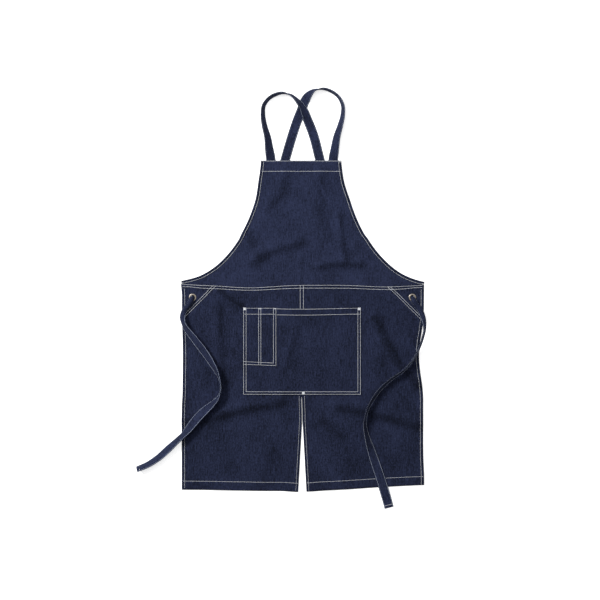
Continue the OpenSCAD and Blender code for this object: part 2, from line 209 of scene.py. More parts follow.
RIGHT_TAIL = [
    (304, 71, 0.42, 0, 6.2), (312, 57, 0.42, 0, 6.2), (324, 42, 0.42, -20, 5.4),
    (333, 20, 0.5, -50, 5.2), (336, -6, 0.8, -68, 5), (330, -34, 0.9, -72, 5),
    (319, -63, 1, -74, 5), (307, -87, 1, -76, 5), (277, -122, 1, -72, 5),
    (240, -149, 1, -68, 5), (210, -177, 1, -64, 5), (191, -204, 1, -64, 5),
    (176, -234, 1, -72, 5), (170, -268, 1, -66, 5), (177, -308, 1, -52, 5),
    (190, -349, 1, -26, 4.8), (218, -432, 1, 0, 4.8), (227, -462, 1, 0, 4.8),
    (233, -482, 1, 0, 0), (238, -501, 1, 0, 0),
]


# ---------------------------------------------------------------- materials

UV, OBJECT = 2, 3          # outputs of a Texture Coordinate node
AMOUNT = 2                 # output of an Attribute node that is a number


class Value:
    """A socket that can be used in arithmetic: each operation adds a Math node."""

    def __init__(self, finish, socket):
        self.finish = finish
        self.socket = socket

    def _math(self, operation, a, b):
        return self.finish.node("ShaderNodeMath", {"operation": operation}, {0: a, 1: b})

    def __add__(self, other): return self._math("ADD", self, other)
    def __radd__(self, other): return self._math("ADD", other, self)
    def __sub__(self, other): return self._math("SUBTRACT", self, other)
    def __rsub__(self, other): return self._math("SUBTRACT", other, self)
    def __mul__(self, other): return self._math("MULTIPLY", self, other)
    def __rmul__(self, other): return self._math("MULTIPLY", other, self)
    def __pow__(self, other): return self._math("POWER", self, other)


class Finish:
    """One material and the nodes of its pattern."""

    def __init__(self, name, constants):
        self.material = bpy.data.materials.new(name)
        self.material.use_nodes = True
        self.tree = self.material.node_tree
        self.shader = self.tree.nodes["Principled BSDF"]
        for socket, value in constants.items():
            self.shader.inputs[socket].default_value = value

    def node(self, kind, settings, inputs, output=0):
        """A node with its settings made first, then its inputs, each a number or another node's Value."""
        made = self.tree.nodes.new(kind)
        for key, value in settings.items():
            setattr(made, key, value)
        for key, value in inputs.items():
            if isinstance(value, Value):
                self.tree.links.new(value.socket, made.inputs[key])
            else:
                made.inputs[key].default_value = value
        return Value(self, made.outputs[output])

    def mix(self, factor, a, b):
        """A colour between a and b. In colour mode they are inputs 6 and 7, and the result is output 2."""
        return self.node("ShaderNodeMix", {"data_type": "RGBA"}, {0: factor, 6: a, 7: b}, 2)

    def noise(self, where, stretch, detail=2.0):
        """Noise from 0 to 1, with stretch features to a metre along each axis."""
        scaled = self.node("ShaderNodeMapping", {}, {"Vector": where, "Scale": stretch})
        return self.node("ShaderNodeTexNoise", {}, {"Vector": scaled, "Scale": 1.0, "Detail": detail})

    def band(self, value, low, high):
        """0 below low, 1 above high, and smooth between them."""
        return self.node("ShaderNodeMapRange", {"interpolation_type": "SMOOTHSTEP"},
                         {0: value, 1: low, 2: high, 3: 0.0, 4: 1.0})

    def set(self, socket, value):
        """Drives one of the shader's inputs."""
        self.tree.links.new(value.socket, self.shader.inputs[socket])

    def bump(self, height, distance, strength):
        """Relief that is too fine for the mesh."""
        self.set("Normal", self.node("ShaderNodeBump", {}, {
            "Height": height, "Distance": distance, "Strength": strength}))


def denim(name, depth):
    """Indigo warp over off-white weft: twill, uneven yarns and mottling, plus a per-point offset that
    lightens faded hems and holds painted shade and painted light.
    """
    f = Finish(name, {"Sheen Weight": 0.02, "Sheen Roughness": 0.5, "Specular IOR Level": 0.04})
    uv = f.node("ShaderNodeTexCoord", {}, {}, UV)
    yarn = f.noise(uv, (620, 34, 1), 3.0)
    fine = f.noise(uv, (2100, 320, 1), 2.0)
    weft = f.noise(uv, (70, 800, 1), 2.0)
    speck = f.noise(uv, (430, 150, 1), 3.0)
    mottle = f.noise(uv, (15, 12, 1), 3.0)
    twill = f.node("ShaderNodeTexWave", {"wave_type": "BANDS", "bands_direction": "DIAGONAL"},
                   {"Vector": uv, "Scale": 380.0, "Distortion": 0.5, "Detail": 1.0})
    # per-point offset: real fading on hems, painted shade in folds, along rims, between stitch rows and on
    # the bindings, and painted light over the bib
    wear_and_painted_light = f.node("ShaderNodeAttribute", {"attribute_name": "wear_and_painted_light"}, {}, AMOUNT)
    fleck = f.band(fine, 0.58, 0.72)
    light = ((yarn - 0.5) * 2.0 + (fine - 0.5) * 0.9 + (weft - 0.5) * 0.9 + (speck - 0.5) * 1.9
             + (mottle - 0.5) * 0.9 + (twill - 0.5) * 0.5 + wear_and_painted_light * 0.5 + 0.46)
    light = f.band(light, -0.25, 1.25)
    # depth scales both colours; above 1 the cloth is painted lighter
    dark = tuple(depth * c for c in (0.0045, 0.0058, 0.0120)) + (1.0,)
    blue = tuple(depth * c for c in (0.0260, 0.0330, 0.0740)) + (1.0,)
    pale = (0.11, 0.13, 0.18, 1.0)
    f.set("Base Color", f.mix(fleck * 0.10, f.mix(light, dark, blue), pale))
    f.set("Roughness", 0.80 + 0.14 * mottle)
    f.bump(twill * 0.7 + yarn * 0.6 + fine * 0.5, 0.0003, 0.8)
    return f.material


def cotton_thread(name, tone):
    """Off-white twisted thread, or one that indigo has rubbed off on."""
    f = Finish(name, {"Sheen Weight": 0.1, "Specular IOR Level": 0.3})
    here = f.node("ShaderNodeTexCoord", {}, {}, OBJECT)
    soil = f.noise(here, (40, 40, 40), 2.0)
    ply = f.noise(here, (1600, 1600, 1600), 1.0)
    f.set("Base Color", f.mix(soil, tuple(0.7 * c for c in tone) + (1,), tone + (1,)))
    f.set("Roughness", 0.62 + 0.2 * ply)
    f.bump(ply, 0.0002, 0.8)
    return f.material


def nickel():
    """Antique nickel: brushed, with darker worn patches."""
    f = Finish("antique_nickel", {"Coat Roughness": 0.3})
    here = f.node("ShaderNodeTexCoord", {}, {}, OBJECT)
    patina = f.noise(here, (260, 260, 260), 4.0)
    scratch = f.noise(here, (1500, 300, 900), 2.0)
    f.set("Base Color", f.mix(patina, (0.10, 0.085, 0.07, 1), (0.50, 0.45, 0.38, 1)))
    f.set("Metallic", 0.8 + 0.2 * patina)
    f.set("Roughness", 0.26 + 0.24 * patina)
    f.bump(scratch, 0.0001, 0.4)
    return f.material


DENIM = denim("denim", 1.0)
# painted light: a copy of the denim made 1.15 times lighter, standing in for more light on the straps; the
# bindings use it too
PAINTED_LIGHT_DENIM = denim("painted_light_denim", 1.15)
THREAD = cotton_thread("cotton_thread", (0.72, 0.74, 0.78))
BLUED_THREAD = cotton_thread("blued_thread", (0.44, 0.50, 0.62))
NICKEL = nickel()


# ---------------------------------------------------------------- meshes

def to_mesh(name, points, faces, material, uv=None, wear_and_painted_light=None):
    """A piece from points in millimetres. Points that no face uses are left out."""
    faces = [np.asarray(f) for f in faces if len(f)]
    used = np.unique(np.concatenate([f.ravel() for f in faces]))
    points = np.array(points, float)
    points[:, 2] = np.maximum(points[:, 2], LOWEST)
    number = np.full(len(points), -1)
    number[used] = np.arange(len(used))
    rows = [row for f in faces for row in number[f].tolist()]
    mesh = bpy.data.meshes.new(name)
    mesh.from_pydata((points[used] * MM).tolist(), [], rows)
    mesh.polygons.foreach_set("use_smooth", [True] * len(mesh.polygons))
    if uv is not None:
        corner = np.empty(len(mesh.loops), int)
        mesh.loops.foreach_get("vertex_index", corner)
        layer = mesh.uv_layers.new(name="UVMap")
        layer.data.foreach_set("uv", (np.asarray(uv)[used][corner] * MM).ravel())
    if wear_and_painted_light is not None:
        mesh.attributes.new("wear_and_painted_light", "FLOAT", "POINT").data.foreach_set("value", np.asarray(wear_and_painted_light)[used])
    mesh.materials.append(material)
    piece = bpy.data.objects.new(name, mesh)
    bpy.context.scene.collection.objects.link(piece)
    return piece


def cloth(name, x, y, front, thick, keep=None, wear_and_painted_light=None):
    """A closed sheet: front is the height of its face over the grid x, y, and keep its cells."""
    n, m = x.shape
    index = np.arange(n * m).reshape(n, m)
    keep = np.ones((n - 1, m - 1), bool) if keep is None else keep
    a, b, c, d = index[:-1, :-1], index[:-1, 1:], index[1:, 1:], index[1:, :-1]
    turn = (x[0, 1] - x[0, 0]) * (y[1, 0] - y[0, 0]) - (y[0, 1] - y[0, 0]) * (x[1, 0] - x[0, 0])
    if turn < 0:
        a, b, c, d = a, d, c, b
    under = n * m
    top = np.stack([a, b, c, d], -1)[keep]
    bottom = np.stack([d, c, b, a], -1)[keep] + under
    padded = np.pad(keep, 1)
    corners = np.stack([index[:-1, :-1], index[:-1, 1:], index[1:, 1:], index[1:, :-1]], -1)
    rims = []
    for (p, q), (di, dj) in {(0, 1): (-1, 0), (1, 2): (0, 1), (2, 3): (1, 0), (3, 0): (0, -1)}.items():
        open_edge = keep & ~padded[1 + di:n + di, 1 + dj:m + dj]
        s, e = corners[..., p][open_edge], corners[..., q][open_edge]
        if turn < 0:
            s, e = e, s
        rims.append(np.stack([s, s + under, e + under, e], -1))
    x, y = leaned(x, y), waved(x, y)
    front = np.maximum(front, thick + 0.2)
    z = np.stack([front, front - thick])
    points = np.stack([np.stack([x, x]), np.stack([y, y]), z], -1).reshape(-1, 3)
    uv = points[:, :2]
    wear_and_painted_light = np.zeros_like(front) if wear_and_painted_light is None else wear_and_painted_light
    return to_mesh(name, points, [top, bottom, *rims], DENIM, uv,
                   np.concatenate([wear_and_painted_light.ravel(), wear_and_painted_light.ravel()]))


def spaced(length, fine_start, fine_end, step):
    """Places from 0 to 1 along a length: dense near an edge that has a seam."""
    seam = np.array([0, 0.25, 0.7, 1.3, 2.2, 3.4, 4.8, 5.8, 6.6, 7.3, 8.0, 8.7, 9.5, 10.4, 11.6, 13.2, 15.4])
    plain = np.array([0, 0.25, 0.7, 1.3, 2.2, 4])
    start = seam if fine_start else plain
    end = seam if fine_end else plain
    count = max(2, round((length - start[-1] - end[-1]) / step))
    middle = np.linspace(start[-1], length - end[-1], count + 1)[1:-1]
    return np.concatenate([start, middle, length - end[::-1]]) / length


# ---------------------------------------------------------------- how the cloth lies

def path_distance(x, y, points):
    """Distance from each place to a line through the points."""
    best = np.full(np.shape(x), 1e9)
    for (x0, y0), (x1, y1) in zip(points[:-1], points[1:]):
        dx, dy = x1 - x0, y1 - y0
        t = np.clip(((x - x0) * dx + (y - y0) * dy) / (dx * dx + dy * dy), 0, 1)
        best = np.minimum(best, np.hypot(x - x0 - t * dx, y - y0 - t * dy))
    return best


def ripple(x, y, size, seed):
    """Smooth uneven height from -1 to 1, with humps of about the given size."""
    waves = 9
    rng = np.random.default_rng(seed)
    total = np.zeros(np.shape(x))
    for _ in range(waves):
        angle, phase, scale = rng.uniform(0, 2 * math.pi, 2).tolist() + [rng.uniform(0.7, 1.5)]
        across = x * math.cos(angle) + y * math.sin(angle)
        total += np.sin(across * 2 * math.pi / (size * 2 * scale) + phase)
    return total / waves * 1.8


# Soft folds: the line of the ridge, its height and its half-width
FOLDS = [
    ([(-330, -262), (-268, -250), (-160, -224), (-62, -204)], 6.5, 15),
    ([(92, -216), (150, -226), (215, -242), (308, -270)], 6.5, 15),
    ([(50, -256), (104, -296)], 3.4, 15),
    ([(194, 24), (229, -48), (262, -102), (314, -160)], 7.0, 12),
    ([(-230, 100), (-214, 86), (-170, 59)], 6.5, 8),
    ([(-236, 66), (-234, -10), (-228, -90), (-224, -140)], 3.6, 14),
    ([(-128, 198), (-70, 216), (-8, 236)], 5.0, 15),
    ([(-150, 172), (-112, 192)], 2.6, 13),
    ([(44, 168), (100, 176), (150, 172)], 5.0, 13),
    ([(98, 306), (103, 240), (112, 180)], 4.2, 10),
    ([(-8, 190), (-7, 116)], 1.8, 7),
    ([(-100, 330), (-60, 372), (-44, 420)], 3.0, 16),
    ([(50, 420), (34, 330), (60, 250)], 2.4, 20),
    ([(-165, 262), (-150, 236)], 3.0, 14),
    ([(-22, -10), (-52, -112)], 2.8, 13),
    ([(-122, -186), (-10, -188)], 1.8, 5),
    ([(10, -188), (120, -186)], 1.2, 5),
    ([(208, 60), (214, -190)], 1.2, 16),
    ([(-100, -330), (-110, -420)], 1.6, 24),
    ([(110, -330), (120, -420)], 1.6, 24),
    ([(-290, -30), (-270, -140)], 1.8, 20),
]
HIDDEN_STRAPS = [[p[:2] for p in LEFT_LOOP[-8:]], [p[:2] for p in RIGHT_LOOP[-8:]]]


def lie(x, y):
    """Front face of the main cloth without its hems: folds, humps and what lies under it."""
    z = LIE_Z + 1.7 * ripple(x, y, 90, 3) + 0.5 * ripple(x, y, 30, 5) + 1.0
    for line, height, width in FOLDS:
        z = z + height * np.exp(-(path_distance(x, y, line) / width) ** 2)
    for strap in HIDDEN_STRAPS:
        z = z + 1.1 * (1 - ease((path_distance(x, y, strap) - 11) / 6))
    for side, (ex, ey) in EYELETS.items():
        pad = 1 - ease((np.hypot(x - ex, y - ey) - 13) / 22)
        z = z * (1 - pad) + (PATCH_FRONT - 0.8) * pad
    return z


def shade(x, y):
    """Painted shade: the colour is darkened on the side of each fold away from the key light, most along a
    narrow core.
    """
    dark = np.zeros(np.shape(x))
    for line, height, width in FOLDS:
        moved = [(px + 0.62 * width, py - 0.62 * width) for px, py in line]
        far = path_distance(x, y, moved)
        dark = dark - 0.115 * height * np.exp(-(far / (0.9 * width)) ** 2)
        dark = dark - 0.035 * height * np.exp(-(far / 4.5) ** 2)
    return np.maximum(dark, -0.7)


def roll_off(d, radius):
    """How far a rounded edge drops at distance d from it."""
    c = np.clip(d, 0, radius)
    return radius - np.sqrt(np.maximum(radius ** 2 - (radius - c) ** 2, 0))


def groove(d, at, depth=0.45, width=1.0):
    """The dent that a line of stitches pulls into the cloth."""
    return depth * np.exp(-((d - at) / width) ** 2)


def pucker(along, d, width, size=0.28, pitch=7.5):
    """Small slanted waves that sewing leaves in a hem."""
    inside = ease(d / 1.5) * (1 - ease((d - width) / 3))
    return size * inside * np.sin(2 * np.pi * (along + 0.6 * d) / pitch)


def skirt_front(side, x, y):
    """Height of a skirt half's face and the offset of its colour: hems are thicker, rims are rolled, stitch
    lines are dented, and shade is painted into the folds, along the rims and between the waist rows.
    """
    d_out = np.abs(side_x(side, y) - x)
    d_in = np.abs(x - slit_x(side, y))
    d_hem = y - hem_y(side, x)
    slit = ease((POCKET[1] - y) / 6)
    d_slit = d_in + 60 * (1 - slit)
    d_waist = WAIST - y
    thick = np.maximum.reduce([1 - ease((d_out - SIDE_HEM) / 2.5), 1 - ease((d_slit - SIDE_HEM) / 2.5),
                               1 - ease((d_hem - HEM_H) / 2.5), 0.8 * (1 - ease((d_waist - 11) / 2.5))])
    z = lie(x, y) + 0.9 * thick
    z += pucker(y, d_out, SIDE_HEM) + pucker(y, d_slit, SIDE_HEM) + pucker(x, d_hem, HEM_H, 0.2, 9)
    z -= (groove(d_out, SIDE_ROW) + groove(d_slit, SLIT_ROW) + groove(d_hem, HEM_H)
          + groove(d_waist, 2) + groove(d_waist, 9))
    z -= groove(d_in, SEAM_ROW) * (1 - slit)
    z -= (roll_off(d_out, 1.6) + roll_off(d_hem, 1.6) + roll_off(d_waist, 0.9)
          + roll_off(d_in, 0.7 + 0.9 * slit))
    z -= 0.5 * (1 - slit) * (1 - ease(d_in / 3))
    z -= 0.5 * (1 - ease(d_out / 5)) + 0.4 * (1 - ease(d_hem / 5)) + 0.4 * slit * (1 - ease(d_in / 5))
    rim = np.minimum(np.minimum(d_out, d_hem), d_slit)
    # painted shade: darker colour beside the folds, along the rolled rims and in the band between the two
    # waist rows
    wear_and_painted_light = shade(x, y) - 0.55 * (1 - ease(rim / 6)) - 0.25 * np.exp(-((d_waist - 5.5) / 3) ** 2)
    return z, wear_and_painted_light


def make_skirt(side):
    """One skirt half with its hole for the eyelet, with a close row on each side of the hem's stitches."""
    columns = spaced(HALF_W, True, True, 3.6)
    rows = spaced(WAIST + HALF_H, True, True, 3.8)
    extra = (WAIST + HALF_H - HEM_H + np.array([-1, 0, 1])) / (WAIST + HALF_H)
    rows = np.unique(np.concatenate([rows, extra]))
    across = np.linspace(0, 1, 60)
    x_rough = slit_x(side, WAIST) + (side_x(side, WAIST) - slit_x(side, WAIST)) * across
    low = np.interp(columns, across, hem_y(side, x_rough))
    y = WAIST + (low[None, :] - WAIST) * rows[:, None]
    inner, outer = slit_x(side, y), side_x(side, y)
    x = inner + (outer - inner) * columns[None, :]
    keep, x, y = open_hole(x, y, side, 7.2, 0.6)
    front, wear_and_painted_light = skirt_front(side, x, y)
    return cloth(f"{SIDE_NAMES[side]}_skirt_cloth", x, y, front, CLOTH_T, keep, wear_and_painted_light)


def open_hole(x, y, side, radius, rim):
    """The cells of a grid that lie clear of the eyelet, and the grid with their edge moved onto a circle."""
    ex, ey = EYELETS[side]
    middle_x = (x[:-1, :-1] + x[1:, 1:]) / 2
    middle_y = (y[:-1, :-1] + y[1:, 1:]) / 2
    keep = np.hypot(middle_x - ex, middle_y - ey) > radius - rim
    out = np.pad(~keep, 1)
    touched = out[:-1, :-1] | out[1:, :-1] | out[:-1, 1:] | out[1:, 1:]
    far = np.hypot(x - ex, y - ey)
    near = touched & (far < 3 * radius)
    r = np.maximum(far, 1e-6)
    return keep, np.where(near, ex + (x - ex) / r * radius, x), np.where(near, ey + (y - ey) / r * radius, y)


def bib_front(x, y):
    """Height of the bib's face and the offset of its colour: the whole bib is painted lighter, shade is
    painted into its folds and beside the armhole, and its top hem is faded lighter.
    """
    shape = np.shape(x)
    flat = np.stack([np.abs(x).ravel(), np.ravel(y)], 1)
    d_arm = np.concatenate([path_distance(part[:, 0], part[:, 1], ARM_LINE[::3])
                            for part in np.array_split(flat, 8)]).reshape(shape)
    d_top = HALF_H - y
    d_low = y - (WAIST - 11)
    thick = np.maximum(1 - ease((d_arm - 7) / 2.5), 1 - ease((d_top - TOP_HEM) / 2.5))
    z = lie(x, y) + 0.8 * thick
    z -= groove(d_top, TOP_HEM) + groove(d_top, 1.8, 0.3)
    z += pucker(x, d_top, TOP_HEM, 0.2, 9)
    z -= roll_off(d_top, 1.6) + 1.0 * (1 - ease((d_low - 8) / 5))
    # painted light over the whole bib (0.38), painted shade from the folds and within 7 mm of the armhole,
    # and real fading on the top hem
    return z, 0.38 + shade(x, y) + 0.10 * (1 - ease((d_top - 28) / 2.5)) - 0.4 * (1 - ease(d_arm / 7))


def make_bib():
    """The bib, from its top edge down to the allowance that lies behind the waist seam."""
    edge = armhole(spaced(ARM_LENGTH, True, False, 3.2))
    rows = np.concatenate([edge[:, 1], WAIST + np.array([5, 1, -4, -8])])
    half_w = np.concatenate([edge[:, 0] - 1.6, HALF_W - np.array([1.8, 2, 4, 6])])
    mean_width = 300
    columns = spaced(mean_width, True, True, 3.0) * 2 - 1
    x = half_w[:, None] * columns[None, :]
    y = np.repeat(rows[:, None], len(columns), 1)
    front, wear_and_painted_light = bib_front(x, y)
    return cloth("bib_cloth", x, y, front, CLOTH_T, None, wear_and_painted_light)


def make_binding(side):
    """The folded strip that wraps an armhole edge, seen on both faces."""
    path = ARM_LINE.copy()
    normal = arm_inset(1.0) - path
    front_edge = 8.6
    section = [(front_edge, 0.0), (front_edge - 0.5, 0.55), (5.9, 0.35), (3.0, 0.75), (1.0, 0.7), (0.1, 0.2),
               (-0.3, -0.8), (0.1, -1.9), (1.0, -2.5), (4.0, -2.6), (8.2, -2.6), (9.0, -2.3), (8.2, -2.0),
               (4.0, -1.9), (1.6, -1.7), (1.3, -1.1), (1.6, -0.4), (4.0, -0.35), (front_edge - 0.4, -0.35)]
    along = run_along(path)
    middle = path + normal * 5
    core = bib_front(side * middle[:, 0], np.clip(middle[:, 1], WAIST + 1, HALF_H - 2))[0]
    rings = []
    for inset, rise in section:
        place = path + normal * inset
        x, y = side * place[:, 0], np.clip(place[:, 1], WAIST - 3, HALF_H)
        pull = 0.16 * np.sin(2 * np.pi * (along + inset) / 6.5)
        rings.append(np.stack([leaned(x, y), waved(x, y), core + rise + pull], 1))
    # painted shade: the binding's colour is darkened all over (-0.45) for the shade on its rounded edge
    return tube(f"{SIDE_NAMES[side]}_armhole_binding_cloth", np.stack(rings, 1), along,
                np.arange(len(section)) * 1.6, PAINTED_LIGHT_DENIM, wear_and_painted_light=-0.45, turned=side == LEFT)


def tube(name, rings, along, around, material, wear_and_painted_light=0.0, turned=False):
    """A closed sweep through rings of points, capped at both ends."""
    n, m = rings.shape[:2]
    index = np.arange(n * m).reshape(n, m)
    nxt = np.roll(index, -1, 1)
    walls = np.stack([index[:-1], nxt[:-1], nxt[1:], index[1:]], -1).reshape(-1, 4)
    first, last = index[:1, ::-1], index[-1:]
    if turned:
        walls, first, last = walls[:, ::-1], first[:, ::-1], last[:, ::-1]
    uv = np.stack(np.meshgrid(around, along), -1).reshape(-1, 2)
    return to_mesh(name, rings.reshape(-1, 3), [walls, first, last], material, uv, np.full(n * m, wear_and_painted_light))


# ---------------------------------------------------------------- straps

# A strap's section: places across it, and its thickness there, pinched at the rows of stitches
SECTION_A = np.array([-1, -0.965, -0.86, -0.8, -0.6, -0.3, 0, 0.3, 0.6, 0.8, 0.86, 0.965, 1]) * STRAP_W / 2
SECTION_T = np.array([0.3, 0.85, 0.85, 1.05, 1, 1, 1, 1, 1, 1.05, 0.85, 0.85, 0.3])
SHARES, CURLS = [0.42, 0.52, 0.8, 1], [4.2, 2.7, 1.1, 0]    # the curl in radians for the share that shows
LEAST_CURL = 0.12
RING_STEP = 2.6


def strap_section(curl, thick):
    """Front and back points across a strap that is curled by an angle, about its middle."""
    curl = max(abs(curl), 1e-3)
    radius = STRAP_W / curl
    theta = SECTION_A / radius
    mid = np.stack([radius * np.sin(theta), radius * (np.cos(theta) - 1)], 1)
    mid[:, 1] -= radius * (math.sin(curl / 2) / (curl / 2) - 1)
    normal = np.stack([np.sin(theta), np.cos(theta)], 1)
    half = (SECTION_T * thick / 2)[:, None]
    return mid + normal * half, mid - normal * half, normal


def smooth(stops, step):
    """An evenly stepped smooth curve through rows of values, of which the first three are a place."""
    p = np.asarray(stops, float)
    s = run_along(p[:, :3])
    slope = np.gradient(p, s, axis=0)
    fine = np.arange(0, s[-1], step / 2)
    i = np.clip(np.searchsorted(s, fine, "right") - 1, 0, len(s) - 2)
    h = (s[i + 1] - s[i])[:, None]
    t = ((fine - s[i]) / (s[i + 1] - s[i]))[:, None]
    curve = ((2 * t ** 3 - 3 * t ** 2 + 1) * p[i] + (t ** 3 - 2 * t ** 2 + t) * h * slope[i]
             + (3 * t ** 2 - 2 * t ** 3) * p[i + 1] + (t ** 3 - t ** 2) * h * slope[i + 1])
    curve = np.concatenate([curve, p[-1:]])
    length = run_along(curve[:, :3])
    even = np.linspace(0, length[-1], round(length[-1] / step) + 1)
    return np.stack([np.interp(even, length, curve[:, k]) for k in range(p.shape[1])], 1), even


class Strap:
    """A flat strap swept along its route, with the frame of each ring kept for its stitches.

    start holds rows of x, y, z, roll and curl that come before the route, and ground gives the
    height of what lies under a place. A stop adds its lift, and 1 where its z is given."""

    def __init__(self, name, route, thick, start=(), ground=None):
        self.name = name
        self.thick = thick
        stops = [(*given, 0.0, 1.0) for given in start]
        for x, y, share, roll, lift in route:
            curl = float(np.interp(share, SHARES, CURLS))
            stops.append((x, y, lift + self.rise(roll, curl), roll, curl, lift, 0.0))
        rows, self.along = smooth(stops, RING_STEP)
        x, y, z, roll, curl, lift, given = rows.T
        given = np.clip(given, 0, 1)
        curl = np.maximum(curl, LEAST_CURL)
        if ground is not None:
            lift = np.maximum(lift, np.convolve(np.pad(ground(x, y), 4, "edge"), np.ones(9) / 9, "valid"))
        rest = np.array([l + self.rise(r, c) for l, r, c in zip(lift, roll, curl)])
        z = z * given + rest * (1 - given)
        self.centre = np.stack([x, y, z], 1)
        self.roll, self.curl = np.radians(roll), curl
        tangent = np.gradient(self.centre, self.along, axis=0)
        self.tangent = tangent / np.linalg.norm(tangent, axis=1)[:, None]
        # where the strap stands nearly upright, its heading is that of the nearest ring that doesn't
        flat = np.linalg.norm(self.tangent[:, :2], axis=1)
        sure = np.flatnonzero(flat > 0.25)
        pick = sure[np.abs(np.arange(len(flat))[:, None] - sure[None, :]).argmin(1)]
        heading = self.tangent[pick][:, :2] / flat[pick][:, None]
        side = np.stack([-heading[:, 1], heading[:, 0], np.zeros(len(x))], 1)
        up = np.cross(self.tangent, side)
        c, s = np.cos(self.roll)[:, None], np.sin(self.roll)[:, None]
        self.u = c * side + s * up
        self.v = c * up - s * side

    def rise(self, roll, curl):
        """Height of the middle of a section above its lowest point."""
        front, back, _ = strap_section(curl, self.thick)
        both = np.concatenate([front, back])
        r = math.radians(roll)
        return -(both[:, 0] * math.sin(r) + both[:, 1] * math.cos(r)).min()

    def make(self):
        """The strap's mesh."""
        rings = []
        for i in range(len(self.centre)):
            front, back, _ = strap_section(self.curl[i], self.thick)
            ring = np.concatenate([front, back[::-1]])
            rings.append(self.centre[i] + ring[:, :1] * self.u[i] + ring[:, 1:] * self.v[i])
        around = np.concatenate([SECTION_A, SECTION_A[::-1]])
        return tube(self.name, np.stack(rings), self.along, around, PAINTED_LIGHT_DENIM, wear_and_painted_light=0.08, turned=True)

    def stitches(self, places):
        """Centres, directions and normals of edge stitches, at these places along it, on both faces."""
        out = []
        for s in places:
            centre, tangent, u, v = (np.array([np.interp(s, self.along, a[:, k]) for k in range(3)])
                                     for a in (self.centre, self.tangent, self.u, self.v))
            front, back, normal = strap_section(np.interp(s, self.along, self.curl), self.thick)
            for k in (2, len(SECTION_A) - 3):      # the third place in from each edge
                n = normal[k, 0] * u + normal[k, 1] * v
                for p, sign in ((front[k], 1), (back[k], -1)):
                    out.append((centre + p[0] * u + p[1] * v, tangent, sign * n))
        return out


# ---------------------------------------------------------------- stitching

STITCH_LONG, STITCH_WIDE, STITCH_HIGH, STITCH_PITCH = 3.5, 1.15, 0.7, 4.0


def stitch_mesh(name, stitches, material=THREAD, wide=STITCH_WIDE, long=STITCH_LONG):
    """One rounded thread for each centre, direction and normal, each a little out of line and length."""
    rng = np.random.default_rng(len(stitches))
    stations = np.array([-0.5, -0.40, 0.0, 0.40, 0.5])
    girth = np.array([0.35, 0.85, 1.0, 0.85, 0.35])
    angles = np.arange(6) * math.pi / 3
    sides, rings = len(angles), len(stations)
    centre = np.array([s[0] for s in stitches], float)
    run = np.array([s[1] for s in stitches], float)
    normal = np.array([s[2] for s in stitches], float)
    run -= (run * normal).sum(1)[:, None] * normal
    run /= np.linalg.norm(run, axis=1)[:, None]
    side = np.cross(normal, run)
    swing = rng.normal(0, 0.03, len(centre))[:, None]
    run = run + swing * side
    size = long * (1 + rng.normal(0, 0.04, len(centre)))
    points = []
    for s, g in zip(stations, girth):
        for a in angles:
            points.append(centre + run * (s * size)[:, None] + side * (math.cos(a) * g * wide / 2)
                          + normal * (0.12 + math.sin(a) * g * STITCH_HIGH / 2))
    points = np.stack(points, 1).reshape(-1, 3)
    quads = []
    for i in range(rings - 1):
        for j in range(sides):
            k = (j + 1) % sides
            quads.append([sides * i + j, sides * (i + 1) + j, sides * (i + 1) + k, sides * i + k])
    last = sides * (rings - 1)
    ends = [list(range(sides)), list(range(last + sides - 1, last - 1, -1))]
    base = (np.arange(len(centre)) * sides * rings)[:, None, None]
    faces = [(np.array(quads)[None] + base).reshape(-1, 4), (np.array(ends)[None] + base).reshape(-1, sides)]
    return to_mesh(name, points, faces, material)


def surface(*pieces):
    """A tree for finding the face of these pieces from above."""
    verts, polys = [], []
    for piece in pieces:
        start = len(verts)
        verts.extend(v.co.copy() for v in piece.data.vertices)
        polys.extend([start + i for i in p.vertices] for p in piece.data.polygons)
    return BVHTree.FromPolygons(verts, polys)


def sew(tree, lines, pitch=STITCH_PITCH):
    """Stitches along lines of places on the cloth, laid on its face."""
    out = []
    for line in lines:
        line = np.asarray(line, float)
        line = np.stack([leaned(line[:, 0], line[:, 1]), waved(line[:, 0], line[:, 1])], 1)
        s = run_along(line)
        for at in np.arange(pitch / 2, s[-1], pitch):
            (x, y), after, before = ([np.interp(place, s, line[:, k]) for k in (0, 1)]
                                     for place in (at, at + 1, at - 1))
            ahead = np.subtract(after, before)
            hit, normal, _, _ = tree.ray_cast(Vector((x * MM, y * MM, 1.0)), Vector((0, 0, -1)))
            if hit is None:
                continue
            normal = normal if normal.z > 0 else -normal
            if normal.z < 0.6:
                normal = Vector((0, 0, 1))
            out.append((np.array(hit) / MM, np.array([*ahead, 0.0]), np.array(normal)))
    return out


def straight(*points):
    """A line through points, with a place about every 5 mm."""
    out = []
    for a, b in zip(points[:-1], points[1:]):
        steps = max(2, round(math.dist(a, b) / 5))
        out.extend(np.linspace(a, b, steps, endpoint=False))
    return np.array([*out, points[-1]])


def bar_tack(tree, x, y, size, name):
    """A dense square of short stitches with a cross over it."""
    left, right, low, high = x - size / 2, x + size / 2, y - size / 2, y + size / 2
    rows = 8
    levels = [low + k * size / (rows - 1) for k in range(rows)]
    lines = [straight((left, level), (right, level)) for level in levels]
    lines += [straight((left, low), (right, high)), straight((left, high), (right, low))]
    return stitch_mesh(name, sew(tree, lines, 2.2), wide=1.2, long=3.0)


# ---------------------------------------------------------------- camera, light and floor

